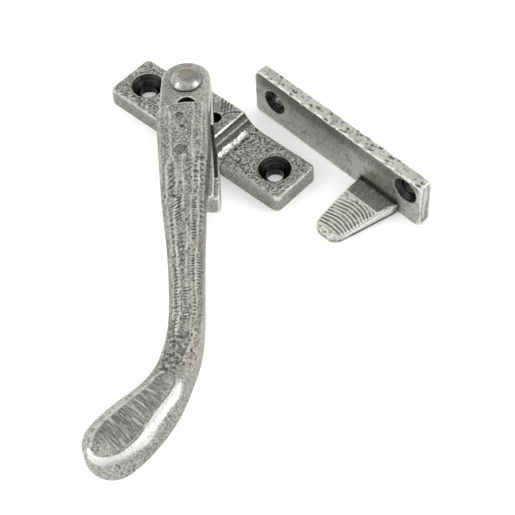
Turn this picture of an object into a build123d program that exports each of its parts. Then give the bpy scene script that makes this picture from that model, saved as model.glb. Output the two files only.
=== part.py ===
from build123d import *
import math
import os

# Casement fastener with a night-vent nose, and its separate hook plate.
# Row frame: origin on the pivot axis at the back face of the base plate, +X along the plate
# towards the locking hole, +Y across the plate towards the keep, +Z out of the window sash.

# --- base plate, screwed to the sash ---
PLATE_LENGTH = 65.0
PLATE_WIDTH = 16.2
PLATE_THICK = 5.6
PLATE_LEFT = 24.6            # pivot axis to the near end of the plate
PLATE_CORNER = 1.6
PLATE_EDGE = 0.8
SCREW_SPACING = 49.2
SCREW_LEFT = 16.9            # pivot axis to the nearer screw hole
SCREW_HOLE_R = 2.4
SCREW_SINK_R = 4.7
SCREW_SINK_DEPTH = 2.6
BOSS_TOP = 9.2
# The boss's end in side view, as distance from the pivot axis and height: two square facets,
# then a hollow that runs out on the plate.
BOSS_FACETS = [(13.9, 9.2), (14.6, 8.0), (15.6, 7.4)]
BOSS_HOLLOW = (16.7, 6.2)
BOSS_FOOT = (18.9, 5.6)
LOCK_RADIUS = 8.9            # pivot axis to the locking screw
LOCK_ANGLE = 6.0             # handle's angle from the plate's length when it is locked
LOCK_HOLE_R = 1.95
LOCK_HOLE_DEPTH = 5.0

# --- pivot ---
PIVOT_R = 3.0
PIVOT_CLEARANCE = 0.05
DOME_R = 4.75
DOME_HEIGHT = 2.6
TAIL_R = 4.6
TAIL_DEPTH = 1.6
WASHER_R = 6.3
GAP = 0.05                   # running gap on each face of the pivot stack
OVERLAP = 1.0                # how far joined and cutting shapes run into or past each other
WIDE = 40.0                  # more than any width or height here, for cutting shapes

# --- nose: the arm under the handle that catches the keep ---
NOSE_BOTTOM = 9.8
NOSE_ARM_TOP = 11.6
HANDLE_FLOOR = 15.8          # underside of the handle, roof of the night-vent slot
NOSE_END = 40.5
NOSE_EYE_R = 6.9
NOSE_TRAIL = 6.0             # trailing side, measured from the handle's axis
# Leading side in plan, as distance along the handle and from its axis.
NOSE_LEAD = [(0.0, 6.9), (17.0, 7.3), (23.0, 8.3), (36.5, 8.6), (NOSE_END, 8.4)]
SLOT_START = 14.3
SLOT_END = 33.0
SLOT_BACK = 0.6              # the slot's blind wall, measured from the handle's axis
NOSE_CORNER = 0.8
SEAT_SPARE = 0.6             # the handle's flat seat runs this far past the nose

# --- handle ---
REST_ANGLE = -46.0           # the handle's direction as modelled; 0 is closed
HEAD_R = 6.9
HEAD_TOP = 19.1
# Flat neck behind the round head, and the flange beside the grip above the slot, in plan.
NECK = [(0.0, -6.9), (8.0, -7.5), (17.0, -7.8), (17.0, 6.0), (8.0, 6.7), (0.0, 6.9)]
FLANGE = [
    (10.0, 0.0), (10.0, 6.2), (14.3, 6.4), (25.0, 6.9),
    (34.0, 7.2), (40.5, 7.0), (42.5, 4.5), (42.5, 0.0),
]
FLANGE_TOP = 17.6
# Curved end of the raised grip, in plan, and the far corners of what is cut away before it.
GRIP_END = [(17.5, -9.0), (12.6, -5.3), (11.5, 0.4), (11.7, 3.4), (13.6, 8.0)]
GRIP_END_CUT = [(5.0, 8.0), (5.0, -9.0)]
LOCK_BORE_R = 2.5
# Stations along the grip: distance, side offset, middle height, half width, half height.
GRIP_STATIONS = [
    (10.8, -1.0, 19.35, 7.1, 3.5),
    (15.0, -1.0, 19.40, 7.1, 3.6),
    (30.0, -0.7, 19.40, 6.7, 3.6),
    (41.0, -0.8, 19.35, 6.0, 3.55),
    (48.0, -0.65, 18.8, 5.65, 4.1),
    (60.0, -0.35, 18.0, 4.9, 4.5),
    (71.0, -0.25, 17.1, 4.55, 4.6),
    (80.0, -0.4, 16.1, 4.5, 4.75),
    (88.0, -1.45, 15.2, 4.7, 4.9),
    (95.0, -3.85, 14.4, 4.9, 5.15),
    (101.0, -7.2, 13.95, 5.8, 5.35),
    (106.5, -12.05, 13.55, 6.9, 5.5),
    (112.8, -18.4, 13.3, 7.1, 5.5),
]
# The round end past the last station: part of the end radius, and the height left there.
END_STEPS = [(0.45, 0.97), (0.78, 0.84), (0.95, 0.60), (0.995, 0.34)]
SECTION_ROUND = 0.62         # corner radius over the smaller half size

# --- nose rivets: distance and side offset from the pivot along the handle, and radius ---
RIVETS = [(16.3, -1.6, 1.3), (28.5, -1.3, 1.8)]
RIVET_TOP = 22.9

# --- locking grub screw ---
LOCK_SCREW_TOP = 17.6
LOCK_SCREW_BODY = 4.4
LOCK_DOG_LENGTH = 1.6
LOCK_DOG_R = 1.7
LOCK_SCREW_CHAMFER = 0.35
LOCK_SCREW_R = LOCK_BORE_R - PIVOT_CLEARANCE
HEX_ACROSS = 2.5
HEX_DEPTH = 2.4

# --- keep: the hook plate for the window frame, standing on its long edge ---
KEEP_LENGTH = 63.6
KEEP_HEIGHT = 16.1
KEEP_THICK = 4.0
KEEP_CENTRE = (41.4, 16.9)
KEEP_TURN = -4.0
# Corner radii at the left end's bottom and top and the right end's bottom and top.
KEEP_CORNERS = [0.9, 2.8, 2.0, 0.9]
KEEP_EDGE = 0.7
KEEP_HOLES = [(-23.7, 8.3), (26.1, 11.1)]
KEEP_HOLE_R = 2.3
KEEP_SINK_R = 3.9
KEEP_SINK_DEPTH = 1.6
TONGUE_ROOT = (9.7, 24.0)
TONGUE_TIP = (11.2, 19.6)
TONGUE_REACH = 20.2
TONGUE_TIP_R = 3.4
TONGUE_ROOT_THICK = 3.6
TONGUE_TIP_THICK = 1.5
TONGUE_FLAT = 6.2
TENON = (12.4, 21.4)
TENON_BOTTOM = 0.9
TENON_TOP = 3.3
TENON_CLEARANCE = 0.02

os.makedirs("parts", exist_ok=True)


def cylinder(x, y, bottom, top, radius):
    """A round bar standing on z = bottom."""
    return Pos(x, y, (bottom + top) / 2) * Cylinder(radius, top - bottom)


def sink_cone(x, y, top, radius_top, radius_bottom, depth):
    """The countersink below a top face."""
    return Pos(x, y, top - depth / 2) * Cone(radius_bottom, radius_top, depth)


def block(x0, x1, y0, y1, z0, z1):
    return Pos((x0 + x1) / 2, (y0 + y1) / 2, (z0 + z1) / 2) * Box(x1 - x0, y1 - y0, z1 - z0)


def along_handle(shape):
    """From the handle's own frame, with its axis on +X, to its direction as modelled."""
    return Rot(0, 0, REST_ANGLE) * shape


def at_keep(shape):
    """From the keep's own frame, with its length on X, to where it stands."""
    return Pos(KEEP_CENTRE[0], KEEP_CENTRE[1], 0) * Rot(0, 0, KEEP_TURN) * shape


def plan_block(outline, bottom, top):
    """A straight-sided block over a closed outline in plan."""
    return Pos(0, 0, bottom) * extrude(make_face(Polyline(*outline, close=True)), top - bottom)


def boss_profile():
    """Side view of the boss: flat top, faceted end and the hollow that runs out on the plate."""
    root = PLATE_THICK - OVERLAP
    with BuildSketch(Plane.XZ) as side:
        with BuildLine():
            Polyline((0, root), (0, BOSS_TOP), *BOSS_FACETS)
            ThreePointArc(BOSS_FACETS[-1], BOSS_HOLLOW, BOSS_FOOT)
            Polyline(BOSS_FOOT, (BOSS_FOOT[0], root), (0, root))
        make_face()
    return side.sketch


def base_plate():
    middle = PLATE_LENGTH / 2 - PLATE_LEFT
    plate = Pos(middle, 0, PLATE_THICK / 2) * Box(PLATE_LENGTH, PLATE_WIDTH, PLATE_THICK)
    plate = fillet(plate.edges().filter_by(Axis.Z), PLATE_CORNER)
    plate = fillet(plate.faces().sort_by(Axis.Z)[-1].edges(), PLATE_EDGE)
    half = PLATE_WIDTH / 2
    boss = extrude(boss_profile(), half, both=True)
    boss += cylinder(0, 0, PLATE_THICK - OVERLAP, BOSS_TOP, half)
    body = plate + boss
    for x in (-SCREW_LEFT, SCREW_SPACING - SCREW_LEFT):
        body -= cylinder(x, 0, -OVERLAP, PLATE_THICK + OVERLAP, SCREW_HOLE_R)
        body -= sink_cone(x, 0, PLATE_THICK, SCREW_SINK_R, SCREW_HOLE_R, SCREW_SINK_DEPTH)
    body -= cylinder(0, 0, -OVERLAP, BOSS_TOP + OVERLAP, PIVOT_R)
    body -= Pos(0, 0, TAIL_DEPTH / 2) * Cone(TAIL_R, PIVOT_R, TAIL_DEPTH)
    hole = cylinder(LOCK_RADIUS, 0, BOSS_TOP - LOCK_HOLE_DEPTH, BOSS_TOP + OVERLAP, LOCK_HOLE_R)
    body -= Rot(0, 0, LOCK_ANGLE) * hole
    return body


def pivot_rivet():
    """Domed rivet: its tail fills the countersink in the plate's back and is filed flush."""
    dome_base = HEAD_TOP + GAP
    ball_r = (DOME_R ** 2 + DOME_HEIGHT ** 2) / (2 * DOME_HEIGHT)
    ball = Pos(0, 0, dome_base + DOME_HEIGHT - ball_r) * Sphere(ball_r)
    dome = ball & block(-DOME_R, DOME_R, -DOME_R, DOME_R, dome_base, WIDE)
    shank = cylinder(0, 0, 0, dome_base, PIVOT_R)
    tail = Pos(0, 0, TAIL_DEPTH / 2) * Cone(TAIL_R, PIVOT_R, TAIL_DEPTH)
    return dome + shank + tail


def friction_washer():
    """Thin washer that the nose turns on."""
    top = NOSE_BOTTOM - GAP
    ring = cylinder(0, 0, BOSS_TOP, top, WASHER_R)
    return ring - cylinder(0, 0, 0, WIDE, PIVOT_R + PIVOT_CLEARANCE)


def rivet_holes():
    holes = []
    for distance, offset, radius in RIVETS:
        holes.append(cylinder(distance, offset, 0, WIDE, radius))
    return holes


def nose():
    """Arm with an eye, a blind slot cut from its leading side, and a solid end."""
    outline = [(0, -NOSE_TRAIL), (NOSE_END, -NOSE_TRAIL), *reversed(NOSE_LEAD)]
    arm = plan_block(outline, NOSE_BOTTOM, HANDLE_FLOOR)
    arm = fillet(arm.edges().filter_by(Axis.Z).group_by(Axis.X)[-1], NOSE_CORNER)
    body = arm + cylinder(0, 0, NOSE_BOTTOM, HANDLE_FLOOR, NOSE_EYE_R)
    body -= block(SLOT_START, SLOT_END, SLOT_BACK, WIDE, NOSE_ARM_TOP, WIDE)
    body -= cylinder(0, 0, 0, WIDE, PIVOT_R + PIVOT_CLEARANCE)
    body -= cylinder(LOCK_RADIUS, 0, 0, WIDE, LOCK_BORE_R)
    for hole in rivet_holes():
        body -= hole
    return along_handle(body)


def grip_path():
    """Centre and direction, in plan, of each grip section, with its sizes."""
    sections = []
    last = len(GRIP_STATIONS) - 1
    for i, (s, n, z, w, h) in enumerate(GRIP_STATIONS):
        before = GRIP_STATIONS[max(i - 1, 0)]
        after = GRIP_STATIONS[min(i + 1, last)]
        turn = math.atan2(after[1] - before[1], after[0] - before[0])
        sections.append((s, n, z, w, h, turn))
    s, n, z, w, h, turn = sections[-1]
    for part, height in END_STEPS:
        reach = part * w
        width = w * math.sqrt(1 - part ** 2)
        tip_s = s + reach * math.cos(turn)
        tip_n = n + reach * math.sin(turn)
        sections.append((tip_s, tip_n, z, width, h * height, turn))
    return sections


def grip():
    """The bar from the raised end to the pear-shaped end, lofted through rounded sections."""
    faces = []
    for s, n, z, w, h, turn in grip_path():
        normal = (math.cos(turn), math.sin(turn), 0)
        across = (-math.sin(turn), math.cos(turn), 0)
        plane = Plane(origin=(s, n, z), x_dir=across, z_dir=normal)
        rounding = SECTION_ROUND * min(w, h)
        faces.append(plane * RectangleRounded(2 * w, 2 * h, rounding))
    before_end = make_face([Spline(*GRIP_END), Polyline(GRIP_END[-1], *GRIP_END_CUT, GRIP_END[0])])
    return loft(faces) - Pos(0, 0, HEAD_TOP) * extrude(before_end, WIDE)


def handle():
    """Forged bar: flat round head with the pivot and lock-screw holes, then the raised grip."""
    head = cylinder(0, 0, HANDLE_FLOOR, HEAD_TOP, HEAD_R)
    neck = plan_block(NECK, HANDLE_FLOOR, HEAD_TOP)
    flange = plan_block(FLANGE, HANDLE_FLOOR, FLANGE_TOP)
    body = head + neck + flange + grip()
    body -= block(0, NOSE_END + SEAT_SPARE, -WIDE, WIDE, 0, HANDLE_FLOOR)
    body -= cylinder(0, 0, 0, WIDE, PIVOT_R + PIVOT_CLEARANCE)
    body -= cylinder(LOCK_RADIUS, 0, 0, HEAD_TOP, LOCK_BORE_R)
    for hole in rivet_holes():
        body -= hole
    return along_handle(body)


def nose_rivets():
    """Two rivets through the nose's blind wall, dressed flush at both ends."""
    pins = []
    for distance, offset, radius in RIVETS:
        pins.append(along_handle(cylinder(distance, offset, NOSE_BOTTOM, RIVET_TOP, radius)))
    return Compound(children=pins)


def lock_screw():
    """Hexagon-socket grub screw with a plain dog point."""
    body_bottom = LOCK_SCREW_TOP - LOCK_SCREW_BODY
    body = cylinder(LOCK_RADIUS, 0, body_bottom, LOCK_SCREW_TOP, LOCK_SCREW_R)
    body = chamfer(body.edges().sort_by(Axis.Z)[-1], LOCK_SCREW_CHAMFER)
    dog = cylinder(LOCK_RADIUS, 0, body_bottom - LOCK_DOG_LENGTH, body_bottom, LOCK_DOG_R)
    socket = extrude(RegularPolygon(HEX_ACROSS / 2, 6, major_radius=False), HEX_DEPTH)
    return along_handle(body + dog - Pos(LOCK_RADIUS, 0, LOCK_SCREW_TOP - HEX_DEPTH) * socket)


def tongue_plan():
    """Plan view of the tongue in the keep's own frame: tapered, with a rounded tip."""
    root = -KEEP_THICK / 2
    tip = root - TONGUE_REACH
    outline = Polyline(
        (TONGUE_ROOT[0], root), (TONGUE_TIP[0], tip),
        (TONGUE_TIP[1], tip), (TONGUE_ROOT[1], root), close=True,
    )
    face = make_face(outline)
    corners = face.vertices().sort_by(Axis.Y)[0:2]
    return fillet(corners, TONGUE_TIP_R)


def tenon(clearance):
    """The tongue's root through the plate, with the given clearance all round."""
    half = KEEP_THICK / 2
    return block(
        TENON[0] - clearance, TENON[1] + clearance, -half, half,
        TENON_BOTTOM - clearance, TENON_TOP + clearance,
    )


def keep_tongue():
    """Flat at the root, then a ramp that thins towards the tip; its tenon is peened in the plate."""
    root = -KEEP_THICK / 2
    tip = root - TONGUE_REACH
    flat_end = root - TONGUE_FLAT
    side = make_face(Polyline(
        (root, 0), (root, TONGUE_ROOT_THICK), (flat_end, TONGUE_ROOT_THICK),
        (tip, TONGUE_TIP_THICK), (tip, 0), close=True,
    ))
    wedge = extrude(Plane.YZ * side, WIDE)
    body = extrude(tongue_plan(), KEEP_HEIGHT) & wedge
    return at_keep(body + tenon(0))


def keep_plate():
    """Flat bar on its long edge with two countersunk holes and the tongue's mortice."""
    plate = Pos(0, 0, KEEP_HEIGHT / 2) * Box(KEEP_LENGTH, KEEP_THICK, KEEP_HEIGHT)
    for end, radii in ((0, KEEP_CORNERS[:2]), (-1, KEEP_CORNERS[2:])):
        for level, radius in ((0, radii[0]), (-1, radii[1])):
            corners = plate.edges().filter_by(Axis.Y).group_by(Axis.X)[end]
            plate = fillet(corners.sort_by(Axis.Z)[level], radius)
    plate = fillet(plate.faces().sort_by(Axis.Y)[0].edges(), KEEP_EDGE)
    for x, z in KEEP_HOLES:
        hole = Rot(90, 0, 0) * Cylinder(KEEP_HOLE_R, KEEP_THICK + OVERLAP)
        sink = Rot(90, 0, 0) * Cone(KEEP_HOLE_R, KEEP_SINK_R, KEEP_SINK_DEPTH)
        plate -= Pos(x, 0, z) * hole
        plate -= Pos(x, (KEEP_SINK_DEPTH - KEEP_THICK) / 2, z) * sink
    return at_keep(plate - tenon(TENON_CLEARANCE))


PARTS = {
    "base_plate": base_plate,
    "pivot_rivet": pivot_rivet,
    "friction_washer": friction_washer,
    "handle": handle,
    "nose": nose,
    "nose_rivets": nose_rivets,
    "lock_screw": lock_screw,
    "keep_plate": keep_plate,
    "keep_tongue": keep_tongue,
}

for name, make in PARTS.items():
    export_step(make(), f"parts/{name}.step")
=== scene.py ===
import math

import bpy
import numpy as np
from mathutils import Matrix, Vector


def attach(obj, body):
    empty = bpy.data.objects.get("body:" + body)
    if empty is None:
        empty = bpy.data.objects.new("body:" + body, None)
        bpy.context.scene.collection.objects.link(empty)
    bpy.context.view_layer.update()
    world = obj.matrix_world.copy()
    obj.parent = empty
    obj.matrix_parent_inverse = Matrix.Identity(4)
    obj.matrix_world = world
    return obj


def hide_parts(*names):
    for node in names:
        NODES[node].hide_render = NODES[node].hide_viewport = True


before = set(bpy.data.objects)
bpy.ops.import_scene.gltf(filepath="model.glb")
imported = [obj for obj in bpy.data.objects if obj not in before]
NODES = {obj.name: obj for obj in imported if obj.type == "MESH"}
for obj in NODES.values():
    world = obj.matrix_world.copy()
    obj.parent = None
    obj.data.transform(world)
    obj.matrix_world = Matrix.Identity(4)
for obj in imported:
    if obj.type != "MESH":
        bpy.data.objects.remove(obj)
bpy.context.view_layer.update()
MM = 0.001

# Main directions and places on the object, in millimetres in the row frame. The handle's own frame
# has s along it from the pivot and n towards its leading side; the keep's own frame has its
# length on x and its front at negative y.
HANDLE_ANGLE = -46.0
KEEP_CENTRE = (41.4, 16.9)
KEEP_ANGLE = -4.0

# Base plate: its screws, the locking hole, the boss's end facets and the hollow below them.
PLATE_TOP = 5.6
PLATE_END = 39.5
SCREWS = (-16.9, 32.3)
SINK_R = 4.7
PLATE_PIT = (22.9, -4.7, 0.75)           # x, y and radius of one deep pit
BOSS_TOP = 9.2
BOSS_END = 13.9
FACET_EDGE = 15.45
HOLLOW = (16.75, 18.25)
BOSS_FOOT = 18.9
LOCK_RADIUS = 8.9
LOCK_ANGLE = 6.0
LOCK_HOLE_R = 2.1

# Handle head and nose.
HEAD_TOP = 19.1
HEAD_BORE_R = 2.8
SLOT_S = (14.0, 33.2)
SLOT_Z = (11.3, 15.9)
NOSE_SIDE = 8.0
NOSE_END = 33.5

# Keep: its holes, the tongue's root, its crease, its tip and its right-hand edge.
KEEP_TOP = 16.1
KEEP_FRONT = -2.0
KEEP_RIGHT = 29.8
KEEP_HOLES = [(-23.7, 8.3), (26.1, 11.1)]
KEEP_SINK_R = 3.9
ROOT_X = (9.5, 24.2)
TONGUE_MIDDLE = 15.2
TONGUE_ROOT = -2.5
TONGUE_CREASE = -8.2
TONGUE_TIP = -20.0
TONGUE_RIGHT_Y = (2.0, 22.2)             # distances in front of the keep
TONGUE_RIGHT_X = (24.0, 19.6)            # the right-hand edge there

# Along the handle the flat head ends at 11 to 12.5, the filed facets run on to about 84, the
# S-bend lies between 84 and 101 and the pear from there to its end at 127. These are the middle
# line and half width of the raised grip.
GRIP_S = (11, 15, 30, 41, 48, 60, 71, 80, 88, 95, 101, 106.5, 112.8)
GRIP_N = (-1.0, -1.0, -0.7, -0.8, -0.65, -0.35, -0.25, -0.4, -1.45, -3.85, -7.2, -12.05, -18.4)
GRIP_W = (7.1, 7.1, 6.7, 6.0, 5.65, 4.9, 4.55, 4.5, 4.7, 4.9, 5.8, 6.9, 7.1)
# Ridges left between the filed facets of the grip: distance along it, share of the half width.
RIDGES = [
    [(12, -0.86), (27, -0.90), (44, -0.93)],
    [(12, -0.60), (18, -0.46), (31, -0.49), (34, -0.66), (41, -0.72), (48, -0.78), (60, -0.74), (80, -0.70)],
    [(30, -0.49), (34, -0.30), (41, -0.29), (46, -0.37), (54, -0.45), (66, -0.40), (84, -0.35)],
    [(29, -0.02), (33, -0.03), (41, 0.05), (47, -0.02), (50, -0.04), (56, 0.12), (66, 0.08), (86, 0.12)],
    [(12, 0.42), (19, 0.45), (27, 0.35), (35, 0.44), (41, 0.45), (50, 0.32), (60, 0.30), (84, 0.36)],
    [(12, 0.78), (27, 0.76), (35, 0.64), (41, 0.70), (50, 0.66), (66, 0.59), (77, 0.56), (92, 0.5)],
    [(12, 0.92), (34, 0.93), (60, 0.95)],
]
# Columns of short file cuts between the ridges: where they start and end along the grip, the share
# of the half width they lie at there, half length, pitch, slant and strength.
CUTS = [
    (33.0, 43.5, -0.45, -0.50, 0.95, 1.95, 0.9, 0.85),
    (44.8, 52.8, -0.22, -0.27, 1.05, 1.05, 0.7, 1.0),
    (32.5, 40.5, 0.22, 0.25, 0.85, 1.75, 0.9, 0.7),
    (32.0, 41.0, 0.52, 0.56, 0.75, 1.65, 0.0, 0.8),
    (33.0, 41.5, 0.80, 0.83, 0.60, 1.65, 0.0, 0.75),
    (45.5, 58.0, 0.48, 0.47, 0.80, 0.85, 0.0, 0.9),
    (44.0, 53.0, 0.84, 0.86, 0.55, 1.55, 0.0, 0.8),
    (62.0, 71.5, 0.36, 0.38, 0.75, 0.85, 0.0, 0.8),
    (64.0, 73.0, 0.72, 0.70, 0.65, 0.85, 0.0, 0.7),
    (56.0, 66.0, -0.20, -0.18, 0.80, 1.30, 0.4, 0.6),
    (66.0, 88.0, -0.52, -0.50, 0.85, 0.95, 0.0, 0.55),
    (73.0, 84.0, -0.02, 0.05, 0.95, 0.80, 0.0, 0.85),
    (74.0, 84.0, 0.46, 0.48, 0.60, 1.05, 0.0, 0.7),
    (52.0, 64.0, -0.62, -0.60, 0.60, 1.40, 0.3, 0.5),
]
# Deep pits in the grip's top: distance, side offset, radius.
GRIP_PITS = [(20.4, -1.0, 0.85), (31.8, 3.9, 1.35), (44.5, -3.2, 0.9), (23.5, 3.0, 0.4), (25.5, -3.2, 0.35)]
# Rubbed arc across the boss, and the line of each file stroke beyond it.
BOSS_ARC = [(10.1, 2.9), (10.5, 4.5), (11.6, 6.0), (13.2, 7.2)]
BOSS_CUTS = [
    [(6.0, 8.0), (8.6, 4.0)],
    [(7.2, 8.0), (9.4, 4.4)],
    [(8.3, 8.0), (9.8, 5.2)],
    [(9.6, 8.0), (10.5, 6.0)],
]
# Outline of the flat, cross-filed facet on the pear's top, in the handle's frame, from its narrow end
# round by the trailing side. From the point FACET_TOE on it faces the leading side, within AROUND.
FACET = [
    (96.0, -5.4), (96.7, -7.1), (99.9, -9.8), (102.8, -13.4), (106.6, -17.8), (110.0, -21.1), (111.7, -21.9),
    (113.5, -22.6), (115.5, -22.6), (117.1, -21.6), (117.6, -19.5), (117.3, -17.4), (116.4, -15.4),
    (114.0, -12.8), (112.4, -11.4), (108.7, -9.5), (105.3, -7.3), (102.8, -5.8), (100.8, -4.7), (98.0, -4.2),
]
FACET_TOE = 8
AROUND = [(92, 20), (140, 20), (140, -23.5), (115.5, -23.5)]
FACET_MIDDLE = (106.0, -13.0)
# Direction of the file marks from s towards n, in degrees, at the facet's two ends.
FACET_ENDS = (97.0, 113.0)
FACET_LAY = (54.0, 38.0)
TOE_PATCH = (117.0, -20.0)               # middle of the speckled patch at the facet's wide end


# --- numbers: smooth noise and scattered cells over points in millimetres ---

def lattice(x, y, z, seed):
    """A repeatable random number from 0 to 1 for each whole-number cell."""
    h = (x * 374761393 + y * 668265263 + z * 2147483629 + seed * 974634777) & 0xFFFFFFFF
    h = ((h ^ (h >> 13)) * 1274126177) & 0xFFFFFFFF
    return ((h ^ (h >> 16)) & 0xFFFF) / 65535.0


def noise(p, size, seed):
    """Smooth noise from -1 to 1 with features about as large as size, one number or three."""
    q = p / np.asarray(size, float)
    cell = np.floor(q).astype(np.int64)
    f = q - cell
    f = f * f * (3 - 2 * f)
    total = np.zeros(len(p))
    for dx in (0, 1):
        for dy in (0, 1):
            for dz in (0, 1):
                share = np.abs(1 - dx - f[:, 0]) * np.abs(1 - dy - f[:, 1]) * np.abs(1 - dz - f[:, 2])
                total += share * lattice(cell[:, 0] + dx, cell[:, 1] + dy, cell[:, 2] + dz, seed)
    return 2 * total - 1


def scatter(p, size, seed):
    """Distance to the nearest scattered point, in units of size, and that point's random number."""
    q = p / np.asarray(size, float)
    cell = np.floor(q).astype(np.int64)
    best = np.full(len(p), 9.0)
    label = np.zeros(len(p))
    for dx in (-1, 0, 1):
        for dy in (-1, 0, 1):
            for dz in (-1, 0, 1):
                c = cell + (dx, dy, dz)
                spot = np.stack([lattice(c[:, 0], c[:, 1], c[:, 2], seed + k) for k in range(3)], 1)
                d = np.linalg.norm(c + spot - q, axis=1)
                near = d < best
                best = np.where(near, d, best)
                label = np.where(near, spot[:, 0], label)
    return best, label


def ramp(x, start, end):
    """0 at start, 1 at end, smooth between, either way round."""
    t = np.clip((x - start) / (end - start), 0, 1)
    return t * t * (3 - 2 * t)


def turned(p, angle, centre=(0, 0)):
    """Points in a frame turned by angle about z at centre."""
    a = math.radians(angle)
    x = p[:, 0] - centre[0]
    y = p[:, 1] - centre[1]
    return np.stack([x * math.cos(a) + y * math.sin(a), y * math.cos(a) - x * math.sin(a), p[:, 2]], 1)


def turned_back(p, angle, centre=(0, 0)):
    """The way back from turned."""
    a = math.radians(angle)
    x = p[:, 0] * math.cos(a) - p[:, 1] * math.sin(a)
    y = p[:, 0] * math.sin(a) + p[:, 1] * math.cos(a)
    return np.stack([x + centre[0], y + centre[1], p[:, 2]], 1)


def off_line(x, y, line):
    """Distance from an open line of points."""
    best = np.full(len(x), 1e9)
    for (ax, ay), (bx, by) in zip(line, line[1:]):
        t = ((x - ax) * (bx - ax) + (y - ay) * (by - ay)) / ((bx - ax) ** 2 + (by - ay) ** 2)
        t = np.clip(t, 0, 1)
        best = np.minimum(best, np.hypot(x - ax - t * (bx - ax), y - ay - t * (by - ay)))
    return best


def inside_by(x, y, outline):
    """Distance from a closed outline in plan, positive inside it."""
    closed = outline + outline[:1]
    inside = np.zeros(len(x), bool)
    for (ax, ay), (bx, by) in zip(closed, closed[1:]):
        inside ^= ((ay > y) != (by > y)) & (x < (bx - ax) * (y - ay) / (by - ay + 1e-12) + ax)
    best = off_line(x, y, closed)
    return np.where(inside, best, -best)


def rounded(outline, rounds=3):
    """A closed outline with its corners cut again and again."""
    for _ in range(rounds):
        ends = list(zip(outline, outline[1:] + outline[:1]))
        outline = [
            (a[0] * (1 - t) + b[0] * t, a[1] * (1 - t) + b[1] * t) for a, b in ends for t in (0.25, 0.75)
        ]
    return outline


def strokes(phase, pitch, sharp=2.0):
    """Evenly spaced file marks across a phase in millimetres: 1 in the middle of a mark."""
    return (0.5 + 0.5 * np.sin(2 * math.pi * phase / pitch)) ** sharp


def pit(x, y, radius):
    """A round dent with a soft edge, 1 at its middle."""
    return ramp(np.hypot(x, y), radius * 1.2, radius * 0.3)


# --- dense pieces ---

def remeshed(part, name, voxel):
    """An even, dense skin of a CAD node, in place."""
    rough = bpy.data.objects.new(name + "_rough", NODES[part].data.copy())
    bpy.context.scene.collection.objects.link(rough)
    grid = rough.modifiers.new("skin", "REMESH")
    grid.mode = "VOXEL"
    grid.voxel_size = voxel * MM
    bpy.context.view_layer.update()
    skin = rough.evaluated_get(bpy.context.evaluated_depsgraph_get())
    mesh = bpy.data.meshes.new_from_object(skin)
    mesh.name = name
    old = rough.data
    bpy.data.objects.remove(rough)
    bpy.data.meshes.remove(old)
    piece = bpy.data.objects.new(name, mesh)
    bpy.context.scene.collection.objects.link(piece)
    return piece


def get_points(mesh, what="co"):
    flat = np.zeros(len(mesh.vertices) * 3, np.float32)
    mesh.vertices.foreach_get(what, flat)
    return flat.reshape(-1, 3).astype(float)


def put_points(mesh, p):
    mesh.vertices.foreach_set("co", p.astype(np.float32).ravel())
    mesh.update()


def neighbours(mesh):
    """A function that averages a value over each vertex's neighbours."""
    pairs = np.zeros(len(mesh.edges) * 2, np.int32)
    mesh.edges.foreach_get("vertices", pairs)
    a, b = pairs.reshape(-1, 2).T
    count = len(mesh.vertices)
    around = np.bincount(a, minlength=count) + np.bincount(b, minlength=count)
    around = np.maximum(around, 1)

    def average(v):
        if v.ndim > 1:
            return np.stack([average(v[:, k]) for k in range(v.shape[1])], 1)
        return (np.bincount(a, v[b], count) + np.bincount(b, v[a], count)) / around

    return average


def put_mask(mesh, name, value):
    mask = mesh.attributes.new(name, "FLOAT", "POINT")
    mask.data.foreach_set("value", np.asarray(value, np.float32))


# Dark patina and painted shade, tumbled grain, file scratches, painted shade inside holes, burnish with
# painted highlights, brown tint, and worn light metal with painted highlights, then the two coordinates in
# which the scratches lie.
MASKS = ("patina_and_shade", "grain", "filed", "painted_hole_shade", "burnish_and_highlight", "tint", "rub_and_highlight", "lay_x", "lay_y")


def add_mark(masks, key, value):
    """Keeps the stronger of a mask and a new mark."""
    masks[key][:] = np.maximum(masks[key], value)


def worked_piece(part, name, voxel, work, placed, smooth, body, slot):
    """Replaces a CAD node with a dense piece, shaped and marked by the function work.

    The function work sees the points in the frame placed, an angle about z and a centre.
    """
    angle, centre = placed
    piece = remeshed(part, name, voxel)
    mesh = piece.data
    average = neighbours(mesh)
    p = get_points(mesh) / MM
    box_low = p.min(0)
    box_high = p.max(0)
    for _ in range(smooth):
        p = 0.5 * p + 0.5 * average(p)
    put_points(mesh, p * MM)
    local = turned(p, angle, centre)
    normal = turned(get_points(mesh, "normal"), angle)
    masks = {key: np.zeros(len(p)) for key in MASKS}
    depth = work(local, normal, masks)
    local = local - normal * depth[:, None]
    p = np.clip(turned_back(local, angle, centre), box_low, box_high)
    put_points(mesh, p * MM)
    normal = get_points(mesh, "normal")
    # Convex edges, made lighter in the material as wear and painted highlight, and hollows, made darker as
    # patina.
    bend = ((p - average(p)) * normal).sum(1)
    for _ in range(3):
        bend = 0.4 * bend + 0.6 * average(bend)
    put_mask(mesh, "edge", ramp(bend, 0.016 * voxel, 0.065 * voxel))
    put_mask(mesh, "hollow", ramp(-bend, 0.020 * voxel, 0.080 * voxel))
    for key in MASKS:
        put_mask(mesh, key, masks[key])
    mesh.polygons.foreach_set("use_smooth", np.ones(len(mesh.polygons), bool))
    mesh.update()
    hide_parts(part)
    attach(piece, body)
    return piece


# --- relief of each piece: the depth to sink each point, in millimetres, and its masks ---

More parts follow.
